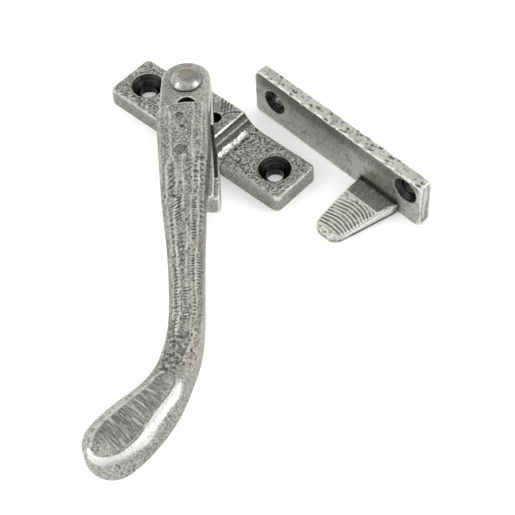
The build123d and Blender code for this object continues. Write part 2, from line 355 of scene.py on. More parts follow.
def work_dome(p, normal, masks):
    """The pivot's head: a brown worn top, painted shade round its foot and a painted highlight on its flank
    towards the front.
    """
    x, y, z = p.T
    masks["tint"][:] = ramp(np.hypot(x + 0.7, y - 1.0), 2.9, 0.6) * ramp(noise(p, 0.9, 3), -0.9, 0.4)
    # Painted shade round the foot where the head meets the handle.
    masks["patina_and_shade"][:] = 0.7 * ramp(z, HEAD_TOP + 0.5, HEAD_TOP + 0.2)
    masks["lay_x"][:] = np.hypot(x, y)
    masks["filed"][:] = 0.3
    # A painted highlight on the flank that faces the front.
    flank = ramp(np.hypot(x - 0.6, y - 0.9), 2.4, 3.6) * ramp(z, HEAD_TOP + 0.3, HEAD_TOP + 0.8)
    masks["rub_and_highlight"][:] = 0.8 * flank * ramp(y - 0.5 * x, 1.5, -0.5)
    return 0.015 * (1 + noise(p, 1.6, 5))


def work_rivets(p, normal, masks):
    """Rivet ends dressed level with the grip, dark and dented."""
    top = ramp(normal[:, 2], 0.5, 0.9)
    dents = ramp(scatter(p, 0.62, 8)[0], 0.5, 0.2) * top
    masks["grain"][:] = 1.0
    masks["patina_and_shade"][:] = 0.52 + 0.40 * dents
    return 0.10 * dents + 0.03 * (1 + noise(p, 0.8, 9)) * top


def work_nose(p, normal, masks):
    """Painted shade inside the night-vent slot, coarse file marks on the nose's end, a side worn light by
    rubbing.
    """
    s, n, z = p.T
    slot = ramp(z, SLOT_Z[0] - 0.1, SLOT_Z[0] + 0.15) * ramp(z, SLOT_Z[1] + 0.1, SLOT_Z[1] - 0.1)
    slot *= ramp(s, SLOT_S[0] - 0.2, SLOT_S[0] + 0.3) * ramp(s, SLOT_S[1] + 0.2, SLOT_S[1] - 0.3)
    # Painted shade on the slot's floor.
    masks["patina_and_shade"][:] = slot * ramp(n, NOSE_SIDE + 0.2, NOSE_SIDE - 0.2)
    top = ramp(normal[:, 2], 0.5, 0.8)
    end = top * ramp(s, NOSE_END - 0.5, NOSE_END + 0.5)
    marks = strokes(s + 0.6 * n + 0.5 * noise(p, 2.0, 41), 1.3) * end * ramp(noise(p, 2.2, 42), -0.4, 0.3)
    add_mark(masks, "patina_and_shade", marks * 0.45)
    masks["grain"][:] = 0.15 + 0.35 * end
    masks["rub_and_highlight"][:] = 0.2 * ramp(n, NOSE_SIDE - 0.4, NOSE_SIDE + 0.1) * ramp(normal[:, 1], 0.2, 0.6)
    return 0.03 * (1 + noise(p, 2.5, 7)) + 0.08 * marks


def boss_relief(p, top, masks):
    """The boss's file strokes, worn arc, lip with a painted highlight, end facets in painted shade, and
    hammered hollow with painted glints.
    """
    x, y, z = p.T
    on_boss = ramp(z, BOSS_TOP - 0.4, BOSS_TOP - 0.1) * top
    cuts = np.zeros(len(x))
    for line in BOSS_CUTS:
        bowed = off_line(x + 0.25 * np.sin(1.1 * y), y, line)
        cuts = np.maximum(cuts, ramp(bowed, 0.42, 0.12))
    arc = ramp(off_line(x, y, BOSS_ARC), 0.42, 0.12) * ramp(noise(p, 0.9, 16), -1.1, -0.2)
    below = strokes(off_line(x, y, BOSS_ARC), 0.95) * ramp(x, 10.0, 11.0)
    below *= ramp(y, -3.0, 1.0) * ramp(y, 6.5, 5.0) * ramp(noise(p, 1.5, 17), -0.3, 0.3)
    marks = np.maximum(np.maximum(cuts, arc), 0.5 * below) * on_boss
    add_mark(masks, "patina_and_shade", 0.8 * marks)
    depth = 0.13 * marks
    # Two end facets in painted shade, with a lighter edge between them.
    first = ramp(x, BOSS_END + 0.10, BOSS_END + 0.45) * ramp(x, FACET_EDGE - 0.10, FACET_EDGE - 0.30)
    second = ramp(x, FACET_EDGE + 0.10, FACET_EDGE + 0.30) * ramp(x, HOLLOW[0] + 0.25, HOLLOW[0] - 0.05)
    add_mark(masks, "patina_and_shade", np.maximum(0.78 * first, 0.80 * second) * ramp(z, PLATE_TOP, PLATE_TOP + 0.4))
    # The hollow, hammered, with painted glints on the burnish along its bottom, and a dark foot beyond it.
    hammer = noise(p, (0.7, 0.36, 0.7), 13)
    shifted = x + 0.35 * noise(p, (1.0, 0.8, 1.0), 56)
    trough = ramp(shifted, HOLLOW[0] - 0.15, HOLLOW[0] + 0.15)
    trough *= ramp(shifted, HOLLOW[1] + 0.25, HOLLOW[1] - 0.25)
    trough *= ramp(y, 5.2, 3.8) * ramp(y, -8.0, -7.2)
    masks["burnish_and_highlight"][:] = trough * ramp(hammer, -0.75, 0.05)
    depth += trough * 0.14 * (1 + hammer)
    foot = ramp(np.abs(x - BOSS_FOOT - 0.6 * noise(p, 0.9, 18)), 0.85, 0.2)
    foot *= ramp(noise(p, 0.8, 14), -0.5, 0.1)
    add_mark(masks, "patina_and_shade", 0.95 * foot)
    depth += 0.06 * foot
    # The lip at the boss's end: burnish with a painted highlight.
    lip = 0.8 * ramp(np.abs(x - BOSS_END + 0.05), 0.32, 0.08)
    lip *= ramp(z, BOSS_TOP - 0.5, BOSS_TOP - 0.2) * ramp(y, 4.5, 0.5)
    add_mark(masks, "burnish_and_highlight", lip * ramp(noise(p, 1.5, 15), -0.8, 0.0))
    return depth


def work_base(p, normal, masks):
    """A painted highlight on the end's top edge, a pitted top, painted shade on the front and inside the
    screw holes, dark rims round them, and the marks of the boss.
    """
    x, y, z = p.T
    top = ramp(normal[:, 2], 0.6, 0.9)
    depth = 0.03 * (1 + noise(p, 3.0, 11))
    # A painted highlight along the top edge of the plate's right-hand end.
    end_edge = ramp(normal[:, 0], 0.25, 0.5) * ramp(normal[:, 2], 0.2, 0.5)
    masks["rub_and_highlight"][:] = 0.8 * end_edge * ramp(x, PLATE_END - 0.5, PLATE_END)
    spots, label = scatter(p, 1.5, 12)
    pits = ramp(spots, 0.26, 0.10) * ramp(label, 0.55, 0.65) * top
    depth += 0.10 * pits
    # Dark patina in the pits, and painted shade on the front faces.
    masks["patina_and_shade"][:] = np.maximum(0.85 * pits, 0.09 * ramp(-normal[:, 1], 0.6, 0.9))
    masks["grain"][:] = 0.25 + 0.75 * top * ramp(z, BOSS_TOP - 1.0, PLATE_TOP + 0.5)
    add_mark(masks, "grain", 0.6 * top)
    # Painted shade inside the countersinks.
    for screw in SCREWS:
        r = np.hypot(x - screw, y)
        inside = ramp(r, SINK_R + 0.2, SINK_R - 0.1) * ramp(z, PLATE_TOP + 0.02, PLATE_TOP - 0.12)
        add_mark(masks, "painted_hole_shade", inside)
        masks["lay_x"][:] = np.where(r < SINK_R + 1, 1.6 * r, masks["lay_x"])
        rim = ramp(np.abs(r - SINK_R - 0.35), 0.35, 0.08) * top
        add_mark(masks, "patina_and_shade", 0.5 * rim)
    # Painted shade inside the lock hole.
    a = math.radians(LOCK_ANGLE)
    lock = np.hypot(x - LOCK_RADIUS * math.cos(a), y - LOCK_RADIUS * math.sin(a))
    in_lock = ramp(lock, LOCK_HOLE_R + 0.2, LOCK_HOLE_R - 0.2) * ramp(z, BOSS_TOP - 0.02, BOSS_TOP - 0.3)
    add_mark(masks, "painted_hole_shade", in_lock)
    pit_x, pit_y, pit_radius = PLATE_PIT
    pit_mark = pit(x - pit_x, y - pit_y, pit_radius) * top
    add_mark(masks, "patina_and_shade", 0.9 * pit_mark)
    return depth + 0.2 * pit_mark + boss_relief(p, top, masks)


def ridge_distance(s, across, half):
    """How far each point of the grip is from the nearest ridge between its filed facets."""
    far = np.full(len(s), 9.0)
    for line in RIDGES:
        at = np.interp(s, [q[0] for q in line], [q[1] for q in line])
        reach = ramp(s, line[0][0] - 1.0, line[0][0] + 0.5) * ramp(s, line[-1][0] + 4.0, line[-1][0])
        wander = 0.035 * noise(np.stack([s, 0 * s, 0 * s], 1), 4.0, 23 + len(line))
        beside = np.where(reach > 0.05, np.abs(across - at - wander) * half, 9.0)
        far = np.minimum(far, beside + 2 * (1 - reach))
    return far


def file_cuts(p, across, half):
    """Columns of short cuts across the grip, no two of the same width."""
    s = p[:, 0]
    marks = np.zeros(len(p))
    shift = 0.30 * noise(p, 1.9, 25)
    for number, (start, end, a0, a1, reach, pitch, slant, force) in enumerate(CUTS):
        off = (across - np.interp(s, (start, end), (a0, a1))) * half
        row = (s + slant * off + shift) / pitch + 0.37 * number
        size = 0.6 + 0.4 * lattice(np.floor(row + 0.25).astype(np.int64), number, 0, 61)
        cut = np.sin(2 * math.pi * row) * 0.5 + 0.5
        cut = ramp(cut, 0.35, 0.95) * ramp(np.abs(off), reach * size + 0.2, reach * size - 0.3)
        column = ramp(s, start - 0.6, start + 0.3) * ramp(s, end + 0.6, end - 0.3)
        marks = np.maximum(marks, cut * force * size * column)
    return marks


def grip_relief(p, across, half, on_grip, masks):
    """Long filed facets with light ridges between them (wear, partly painted highlight), columns of file
    cuts, and dents.
    """
    s, n = p[:, 0], p[:, 1]
    far = ridge_distance(s, across, half)
    strength = 0.5 + 0.5 * ramp(noise(p, (14, 4, 4), 24), -0.6, 0.4)
    depth = on_grip * 0.22 * ramp(far, 0.0, 1.3) * strength
    marks = file_cuts(p, across, half) * on_grip
    depth += 0.17 * marks
    dents, label = scatter(p * (0.75, 1.25, 1.0), 1.15, 27)
    many = 0.34 + 0.22 * ramp(s, 56, 66) + 0.25 * ramp(s, 80, 88) * ramp(across, 0.5, 0.1)
    dents = ramp(dents, 0.40, 0.14) * (label < many) * on_grip * ramp(s, 34, 40)
    depth += 0.12 * dents
    holes = np.zeros(len(p))
    for pit_s, pit_n, radius in GRIP_PITS:
        holes = np.maximum(holes, pit(s - pit_s, n - pit_n, radius) * on_grip)
    holes *= ramp(noise(p, 0.6, 28), -0.7, 0.0)
    depth += 0.22 * holes
    side = ramp(np.abs(across), 0.86, 0.94) * on_grip
    masks["patina_and_shade"][:] = np.clip(np.maximum(np.maximum(1.05 * marks, 0.80 * dents), 0.95 * holes), 0, 0.95)
    # Painted shade on the grip's left-hand wall.
    left_wall = ramp(across, -0.85, -0.98) * ramp(s, 11.0, 12.5) * ramp(s, 84, 80)
    add_mark(masks, "patina_and_shade", 0.16 * left_wall)
    # Light ridges, worn and partly painted highlight, and a painted highlight along the right-hand side.
    masks["rub_and_highlight"][:] = on_grip * 0.55 * ramp(far, 0.42, 0.10) * ramp(noise(p, 1.6, 32), -0.9, 0.2)
    add_mark(masks, "rub_and_highlight", 0.35 * side * ramp(across, -0.5, 0.5))
    masks["tint"][:] = on_grip * ramp(across, 0.45, 0.8) * ramp(s, 46, 58) * ramp(s, 101, 94) * 0.45
    at_bend = ramp(s, 82, 88) * ramp(across, 0.55, 0.2) * ramp(s, 101, 97)
    masks["grain"][:] = on_grip * (0.75 + 0.25 * at_bend)
    return depth


def facet_marks(p, flat, masks):
    """File marks across the pear's flat facet, dark and bright, and a speckled patch at its wide end."""
    s, n = p[:, 0], p[:, 1]
    along, over = s - FACET_MIDDLE[0], n - FACET_MIDDLE[1]
    a = np.radians(np.interp(s, FACET_ENDS, FACET_LAY))
    lay = over * np.cos(a) - along * np.sin(a)
    masks["lay_x"][:] = lay
    masks["lay_y"][:] = 0.06 * (along * np.cos(a) + over * np.sin(a))
    dark = strokes(lay + 0.3 * noise(p, 3.0, 29), 0.85, 3.0)
    dark *= ramp(noise(p, (3.0, 2.0, 3.0), 30), -0.1, 0.4)
    bright = strokes(lay + 0.35 * noise(p, 4.0, 47), 1.9, 5.0)
    bright *= ramp(noise(p, (3.5, 3.0, 3.0), 48), -0.1, 0.3)
    toe = flat * ramp(np.hypot(s - TOE_PATCH[0], n - TOE_PATCH[1]), 3.2, 1.8)
    masks["filed"][:] = flat * (1 - toe)
    add_mark(masks, "rub_and_highlight", flat * (0.55 * bright + 0.3 * toe))
    add_mark(masks, "grain", toe)
    add_mark(masks, "patina_and_shade", flat * (0.22 + 0.46 * dark) * (1 - np.maximum(bright, toe)))
    return flat * 0.05 * dark, toe


def pear_rim(p, normal, facet, pear, masks):
    """A band of burnish with a painted highlight beside the facet on the leading side, a light edge on the
    trailing side.
    """
    s, n = p[:, 0], p[:, 1]
    leading = inside_by(s, n, FACET[FACET_TOE:] + FACET[:1] + AROUND)
    on_leading = ramp(leading, -0.8, 0.1)
    width = 0.8 + 1.1 * ramp(s, 96.5, 104.0) - 0.8 * ramp(s, 113.0, 117.0)
    off = facet + 0.4 + 0.9 * ramp(s, 107.0, 98.0)
    rim = ramp(off, 0.05, -0.35) * ramp(off, -width - 0.9, -width + 0.2) * ramp(s, 96.5, 102.0)
    # The band of burnish carries a painted highlight.
    masks["burnish_and_highlight"][:] = 0.9 * rim * on_leading * ramp(normal[:, 2], 0.15, 0.45)
    line = ramp(np.abs(off - 0.1), 0.40, 0.10) * pear * on_leading * ramp(noise(p, 1.2, 49), -0.8, 0.0)
    add_mark(masks, "patina_and_shade", 0.5 * line)
    edge = ramp(np.abs(facet + 0.35), 0.65, 0.25) * pear * (1 - on_leading)
    add_mark(masks, "rub_and_highlight", 0.6 * edge * ramp(noise(p, 1.4, 50), -0.9, -0.1))
    belt = ramp(np.abs(off + width + 2.0), 2.6, 1.2)
    return leading, belt


def pear_relief(p, normal, masks):
    """A flat cross-filed facet on the pear's top, a rim of burnish with a painted highlight, a tumbled side,
    and painted light where the grip runs into the pear.
    """
    s, n, z = p.T
    facet = inside_by(s, n, rounded(FACET))
    pear = ramp(s, 92, 96) * ramp(normal[:, 2], 0.1, 0.3)
    flat = ramp(facet, -0.1, 0.35) * pear * ramp(z, 15.5, 16.5)
    depth = flat * (0.16 + 0.10 * ramp(facet, 0.3, 2.5))
    scratched, toe = facet_marks(p, flat, masks)
    depth += scratched
    leading, belt = pear_rim(p, normal, facet, pear, masks)
    side = ramp(s, 97, 101) * (1 - flat)
    add_mark(masks, "rub_and_highlight", side * (0.16 + 0.24 * ramp(leading, 0.0, -1.0)))
    off_middle = n - np.interp(s, GRIP_S, GRIP_N)
    # Painted light on the wall inside the S-bend.
    bend = ramp(s, 84, 88) * ramp(s, 101, 98) * ramp(normal[:, 2], 0.5, 0.2)
    add_mark(masks, "rub_and_highlight", 0.4 * bend * ramp(off_middle, 0.0, -2.0))
    add_mark(masks, "grain", side * (0.65 + 0.35 * ramp(noise(p, 4.0, 39), -0.6, 0.5)))
    dents, label = scatter(p * (1.0, 1.0, 0.7), 0.8, 45)
    dents = ramp(dents, 0.50, 0.2) * (label < 0.30 + 0.35 * belt)
    dents *= np.maximum(side, toe) * ramp(masks["burnish_and_highlight"], 0.3, 0.0)
    depth += 0.07 * dents
    add_mark(masks, "patina_and_shade", 0.75 * dents)
    # Coarse dark mottle where the grip runs into the pear.
    mottle = ramp(noise(p, 0.85, 46), 0.0, 0.22) * ramp(s, 84, 88) * ramp(s, 100, 97.5)
    mottle *= ramp(normal[:, 2], 0.3, 0.6) * (1 - flat)
    mottle *= ramp(off_middle, 2.5, 1.2) * ramp(off_middle, -3.6, -2.2)
    depth += 0.06 * mottle
    add_mark(masks, "patina_and_shade", 0.75 * mottle)
    return depth


def work_handle(p, normal, masks):
    """The grip, the pear, and a milled head with painted shade down the bore for the lock screw."""
    s, n, z = p.T
    half = np.interp(s, GRIP_S, GRIP_W)
    across = (n - np.interp(s, GRIP_S, GRIP_N)) / half
    depth = 0.02 * (1 + noise(p, 2.6, 21)) + 0.015 * (1 + noise(p, 0.9, 22))
    raised = ramp(z, HEAD_TOP + 0.3, HEAD_TOP + 1.2)
    on_grip = np.maximum(raised * ramp(s, 11.0, 12.5), ramp(s, 46, 52)) * ramp(normal[:, 2], 0.15, 0.5)
    on_grip = on_grip * ramp(s, 99, 92)
    depth += grip_relief(p, across, half, on_grip, masks)
    depth += pear_relief(p, normal, masks)
    # Milled marks across the flat head.
    head = ramp(s, 12.0, 11.0) * ramp(normal[:, 2], 0.9, 0.97) * ramp(z, HEAD_TOP + 0.3, HEAD_TOP + 0.1)
    milled = strokes(s + 0.25 * noise(p, 3.5, 31), 0.8, 2.0) * head
    depth += 0.05 * milled
    add_mark(masks, "patina_and_shade", 0.40 * milled)
    add_mark(masks, "grain", 0.40)
    # Painted light: the head lighter towards its leading side.
    add_mark(masks, "rub_and_highlight", head * 0.35 * ramp(n, -1.0, 5.5))
    bore = np.hypot(s - LOCK_RADIUS, n)
    in_bore = ramp(bore, HEAD_BORE_R + 0.2, HEAD_BORE_R - 0.2) * ramp(z, HEAD_TOP + 0.02, HEAD_TOP - 0.2)
    # Painted shade in the bore, darker with depth.
    masks["painted_hole_shade"][:] = in_bore * (0.35 + 0.65 * ramp(z, HEAD_TOP - 1.0, HEAD_TOP - 2.2))
    add_mark(masks, "patina_and_shade", 0.7 * in_bore * strokes(z, 0.8))
    masks["lay_x"][:] = np.where(bore < HEAD_BORE_R + 1.2, 1.5 * z, masks["lay_x"])
    return depth


def work_keep(p, normal, masks):
    """Light pitted top edge, a shaded band below it, painted shade in the screw holes and an end streaked
    with painted highlights.
    """
    x, y, z = p.T
    depth = 0.02 * (1 + noise(p, 3.0, 33))
    top = ramp(normal[:, 2], 0.6, 0.9)
    front = ramp(-normal[:, 1], 0.6, 0.9)
    spots, label = scatter(p * (0.55, 1.0, 1.0) + 0.35 * noise(p, 0.8, 55)[:, None], 1.25, 34)
    pits = ramp(spots, 0.46, 0.18) * (label < 0.50) * top
    edge_bites = ramp(noise(p, (1.6, 1.2, 1.2), 35), 0.15, 0.55) * top
    depth += 0.16 * pits + 0.10 * edge_bites
    masks["patina_and_shade"][:] = np.maximum(0.92 * pits, 0.25 * edge_bites)
    masks["grain"][:] = 0.10 + 0.45 * top
    masks["rub_and_highlight"][:] = 0.45 * top
    # A band below the top edge, of uneven width, and painted shade round the tongue's root.
    reach = 3.2 + 1.6 * noise(np.stack([x, 0 * x, 0 * x], 1), 11.0, 36)
    band = front * ramp(z, KEEP_TOP - reach - 1.8, KEEP_TOP - 2.4) * ramp(z, KEEP_TOP - 0.5, KEEP_TOP - 1.1)
    band *= ramp(x, 29.5, 25.0) * ramp(x, -31.0, -28.0)
    add_mark(masks, "patina_and_shade", 0.26 * band)
    root = front * ramp(x, ROOT_X[0] - 1.0, ROOT_X[0] + 1.0) * ramp(x, ROOT_X[1] + 0.8, ROOT_X[1] - 0.7)
    root *= ramp(z, 5.6, 4.2)
    add_mark(masks, "patina_and_shade", 0.75 * root)
    # Slanting file marks to the left of the tongue.
    marks = strokes(x * 0.75 + z * 0.66 + 0.3 * noise(p, 2.5, 37), 1.2, 2.0) * front
    marks *= ramp(np.hypot((x - 1.5) / 4.5, (z - 4.2) / 2.2), 1.2, 0.6)
    depth += 0.04 * marks
    add_mark(masks, "patina_and_shade", 0.3 * marks)
    add_mark(masks, "rub_and_highlight", 0.28 * front * (1 - band) * ramp(z, 13.0, 10.0))
    # A painted highlight on the rounded left-hand end of the front.
    start = p[:, 0].min()
    add_mark(masks, "rub_and_highlight", 0.6 * front * ramp(x, start + 1.5, start + 0.7))
    # The countersinks in painted shade, with turned marks round their middles.
    in_hole = np.zeros(len(p))
    for hole_x, hole_z in KEEP_HOLES:
        r = np.hypot(x - hole_x, z - hole_z)
        inside = ramp(r, KEEP_SINK_R + 0.15, KEEP_SINK_R - 0.1)
        inside *= ramp(y, KEEP_FRONT - 0.02, KEEP_FRONT + 0.12)
        add_mark(masks, "painted_hole_shade", inside)
        ring = ramp(np.abs(r - KEEP_SINK_R - 0.3), 0.3, 0.08) * front
        add_mark(masks, "rub_and_highlight", 0.5 * ring)
        in_hole = np.maximum(in_hole, np.where(r < KEEP_SINK_R + 0.3, 1.6 * r, 0))
    # The bevelled right-hand end, streaked with painted highlights on polished metal and darker between
    # them.
    end = ramp(x, KEEP_RIGHT - 0.5, KEEP_RIGHT + 0.6) * ramp(-normal[:, 1] + normal[:, 0], 0.8, 1.1)
    streak = ramp(noise(p, (0.7, 0.7, 6.0), 38), -0.1, 0.3)
    masks["burnish_and_highlight"][:] = 0.5 * end * streak
    dark_streak = ramp(noise(p, (0.6, 0.6, 3.0), 40), 0.0, 0.5)
    add_mark(masks, "patina_and_shade", 0.4 * end * (1 - streak) * dark_streak)
    masks["lay_x"][:] = np.where(in_hole > 0, in_hole, x)
    masks["lay_y"][:] = 0.06 * z
    masks["filed"][:] = 0.3 * front
    return depth


def work_tongue(p, normal, masks):
    """File marks bowed across the ramp, a darker level part, and a painted highlight on the crease between
    them.
    """
    x, y, z = p.T
    top = ramp(normal[:, 2], 0.6, 0.85)
    depth = 0.02 * (1 + noise(p, 1.2, 51))
    ramp_side = ramp(y, TONGUE_CREASE + 0.1, TONGUE_CREASE - 0.5) * top
    bow = y + 0.045 * (x - TONGUE_MIDDLE) ** 2
    marks = strokes(bow + 0.35 * noise(p, 3.2, 52), 1.07, 1.3) * ramp_side
    marks *= ramp(y, TONGUE_TIP - 0.6, TONGUE_TIP + 0.6)
    marks *= 0.55 + 0.45 * ramp(noise(p, 1.8, 53), -0.5, 0.2)
    marks *= 0.25 + 0.75 * ramp(0.6 * (x - TONGUE_MIDDLE) - y, 7.5, 11.0)
    depth += 0.17 * marks
    masks["patina_and_shade"][:] = 0.72 * marks
    masks["rub_and_highlight"][:] = 0.8 * ramp_side * (1 - marks)
    level = ramp(y, TONGUE_CREASE - 0.2, TONGUE_CREASE + 0.3) * top
    add_mark(masks, "patina_and_shade", 0.20 * level)
    add_mark(masks, "patina_and_shade", 0.9 * ramp(np.abs(y - TONGUE_ROOT), 0.45, 0.1) * top)
    masks["lay_x"][:] = x
    masks["lay_y"][:] = 0.06 * y
    masks["filed"][:] = 0.6 * level
    # A painted highlight along the crease.
    crease = ramp(np.abs(y - TONGUE_CREASE), 0.40, 0.08) * top
    masks["burnish_and_highlight"][:] = 0.5 * crease
    # A bevel of burnish along the right-hand edge, with a painted highlight.
    right_edge = np.interp(-y, TONGUE_RIGHT_Y, TONGUE_RIGHT_X) - x
    past_root = ramp(y, TONGUE_ROOT - 0.5, TONGUE_ROOT - 2.0)
    bevel = ramp(right_edge, 1.1, 0.2) * ramp(z, 1.0, 1.6) * past_root
    depth += 0.5 * ramp(right_edge, 0.9, 0.0) * top * past_root
    add_mark(masks, "burnish_and_highlight", 0.8 * bevel * ramp(y, TONGUE_TIP - 0.5, TONGUE_TIP + 1.0))
    masks["grain"][:] = 0.2 + 0.5 * ramp(normal[:, 2], 0.5, 0.2)
    # Painted shade low on the tongue's right-hand side.
    under = ramp(z, 2.4, 1.2) * ramp(normal[:, 0], 0.5, 0.8) * ramp(y, TONGUE_TIP + 1.0, TONGUE_TIP + 4.0)
    add_mark(masks, "patina_and_shade", 0.5 * under)
    # Dents on the tip.
    tip = ramp(y, TONGUE_TIP + 0.4, TONGUE_TIP - 0.8)
    dents = scatter(p, 0.9, 54)[0]
    depth += 0.1 * tip * ramp(dents, 0.5, 0.2)
    add_mark(masks, "patina_and_shade", 0.5 * tip * ramp(dents, 0.35, 0.15))
    return depth


# --- materials ---

# Scales of the noises per metre, except for the scratches, per millimetre of their own coordinates.
LARGE_SCALE = 170.0
MEDIUM_SCALE = 800.0
FINE_SCALE = 1900.0
CELL_SCALE = 1450.0
SCRATCH_SCALE = 3.4
BUMP_DEPTH = 0.0003                      # metres

BROWN = (0.225, 0.188, 0.122)
BURNISH_HIGHLIGHT_COLOUR = (0.78, 0.78, 0.76)
HOLE_SHADE_COLOUR = (0.012, 0.012, 0.013)
HOLE_SHADE_STREAK_COLOUR = (0.11, 0.105, 0.10)


def node(tree, kind, **settings):
    made = tree.nodes.new(kind)
    inputs = settings.pop("inputs", {})
    for key, value in settings.items():
        setattr(made, key, value)
    for key, value in inputs.items():
        if isinstance(value, bpy.types.NodeSocket):
            tree.links.new(value, made.inputs[key])
        else:
            made.inputs[key].default_value = value
    return made


def maths(tree, operation, a, b=0.0, clamp=False):
    return node(tree, "ShaderNodeMath", operation=operation, use_clamp=clamp, inputs={0: a, 1: b}).outputs[0]


def noise_map(tree, at, scale, detail=3.0, rough=0.6):
    made = node(
        tree, "ShaderNodeTexNoise",
        inputs={"Vector": at, "Scale": scale, "Detail": detail, "Roughness": rough},
    )
    return made.outputs["Fac"]


def span(tree, value, low, high, out_low=0.0, out_high=1.0):
    made = node(
        tree, "ShaderNodeMapRange", interpolation_type="SMOOTHSTEP",
        inputs={0: value, 1: low, 2: high, 3: out_low, 4: out_high},
    )
    return made.outputs[0]


def blend(tree, share, a, b):
    made = node(tree, "ShaderNodeMix", data_type="RGBA", inputs={"Factor": share})
    for key, value in ((6, a), (7, b)):
        if isinstance(value, bpy.types.NodeSocket):
            tree.links.new(value, made.inputs[key])
        else:
            made.inputs[key].default_value = (*value, 1)
    return made.outputs[2]


def weighed(tree, start, *parts):
    """Start plus each value's distance from a half, times its weight, kept within 0 and 1."""
    total = start
    for value, weight in parts:
        part = maths(tree, "MULTIPLY", maths(tree, "SUBTRACT", value, 0.5), weight)
        total = maths(tree, "ADD", total, part)
    return maths(tree, "ADD", total, 0.0, True)


def shade(colour, share):
    return tuple(share * channel for channel in colour)


def mask_of(tree, name):
    return node(tree, "ShaderNodeAttribute", attribute_name=name).outputs["Fac"]


def times(tree, first, *others):
    """All the values multiplied together."""
    for other in others:
        first = maths(tree, "MULTIPLY", first, other)
    return first


def pewter(name, dark, light, rough=0.42, grit=1.0, bump=0.5):
    """Tumbled antique pewter: dark patina in the pits and cuts, with painted shade where marked; worn light
    on the ridges, with painted highlights.
    """
    material = bpy.data.materials.new(name)
    material.use_nodes = True
    tree = material.node_tree
    tree.nodes.clear()
    at = node(tree, "ShaderNodeTexCoord").outputs["Object"]
    large = noise_map(tree, at, LARGE_SCALE)
    medium = noise_map(tree, at, MEDIUM_SCALE)
    fine = noise_map(tree, at, FINE_SCALE, 2, 0.5)
    cells = node(tree, "ShaderNodeTexVoronoi", inputs={"Vector": at, "Scale": CELL_SCALE})
    cells = cells.outputs["Distance"]
    lay = node(
        tree, "ShaderNodeCombineXYZ", inputs={0: mask_of(tree, "lay_x"), 1: mask_of(tree, "lay_y"), 2: 0.0}
    ).outputs[0]
    scratch = noise_map(tree, lay, SCRATCH_SCALE, 3, 0.7)
    filed = mask_of(tree, "filed")
    grain = mask_of(tree, "grain")
    burnish_and_highlight = mask_of(tree, "burnish_and_highlight")
    painted_hole_shade = mask_of(tree, "painted_hole_shade")
    # Even satin grey with soft clouds and a little grit, and scratches where it was filed.
    tone = weighed(tree, 0.5, (fine, 3.4 * grit), (medium, 2.0 * grit), (large, 1.3))
    colour = blend(tree, tone, dark, light)
    cross = blend(tree, span(tree, scratch, 0.38, 0.64), shade(dark, 0.55), shade(light, 1.25))
    colour = blend(tree, times(tree, filed, 0.85), colour, cross)
    # Tumbled grain: dark cell middles where the noise allows, and worn spots between them.
    pits = times(tree, span(tree, cells, 0.62, 0.30), span(tree, medium, 0.40, 0.52), grain)
    worn = times(tree, span(tree, fine, 0.50, 0.60), grain, 0.65)
    colour = blend(tree, worn, colour, shade(light, 1.25))
    colour = blend(tree, times(tree, pits, 0.9), colour, shade(dark, 0.25))
    # Brown tint, worn light ridges and edges with painted highlights, patina in the hollows and cuts with
    # painted shade, burnish with painted highlights, and painted shade inside holes.
    tinted = times(tree, mask_of(tree, "tint"), span(tree, medium, 0.40, 0.60, 0.4, 0.9))
    colour = blend(tree, tinted, colour, BROWN)
    rubbed_and_highlit = times(tree, mask_of(tree, "rub_and_highlight"), span(tree, medium, 0.34, 0.48))
    edges = times(tree, mask_of(tree, "edge"), span(tree, fine, 0.34, 0.46, 0.4, 1.0))
    rubbed_and_highlit = maths(tree, "MAXIMUM", rubbed_and_highlit, edges)
    colour = blend(tree, rubbed_and_highlit, colour, shade(light, 1.7))
    colour = blend(tree, times(tree, mask_of(tree, "hollow"), 0.55), colour, shade(dark, 0.5))
    colour = blend(tree, mask_of(tree, "patina_and_shade"), colour, shade(dark, 0.22))
    burnish_highlight_share = times(tree, burnish_and_highlight, span(tree, fine, 0.30, 0.42, 0.6, 1.0))
    colour = blend(tree, burnish_highlight_share, colour, BURNISH_HIGHLIGHT_COLOUR)
    hole_shade_mix = blend(tree, span(tree, scratch, 0.45, 0.70), HOLE_SHADE_COLOUR, HOLE_SHADE_STREAK_COLOUR)
    colour = blend(tree, painted_hole_shade, colour, hole_shade_mix)
    bright_scratches = times(tree, filed, span(tree, scratch, 0.60, 0.68, 0.0, 0.6))
    colour = blend(tree, bright_scratches, colour, shade(light, 1.5))
    # Gloss: smoother where it is worn light, where the burnish and painted highlights lie, and in the
    # painted shade of the holes.
    gloss = weighed(tree, rough, (fine, 0.35))
    for value, less in ((rubbed_and_highlit, 0.10), (burnish_and_highlight, 0.14), (painted_hole_shade, 0.20)):
        gloss = maths(tree, "SUBTRACT", gloss, times(tree, value, less), True)
    # Relief: grit and grain, with the scratches, flattened by the burnish.
    height = maths(tree, "ADD", times(tree, fine, 0.5 * grit), times(tree, medium, 0.8 * grit))
    height = maths(tree, "SUBTRACT", height, times(tree, pits, 0.7))
    ridged = times(tree, scratch, maths(tree, "MAXIMUM", filed, times(tree, painted_hole_shade, 0.5)), 1.4)
    height = maths(tree, "ADD", height, ridged)
    height = times(tree, height, maths(tree, "SUBTRACT", 1.0, times(tree, burnish_and_highlight, 0.7)))
    relief = node(
        tree, "ShaderNodeBump", inputs={"Height": height, "Strength": bump, "Distance": BUMP_DEPTH}
    )
    surface = node(
        tree, "ShaderNodeBsdfPrincipled",
        inputs={"Base Color": colour, "Metallic": 1.0, "Roughness": gloss, "Normal": relief.outputs[0]},
    )
    out = node(tree, "ShaderNodeOutputMaterial")
    tree.links.new(surface.outputs[0], out.inputs[0])
    return material


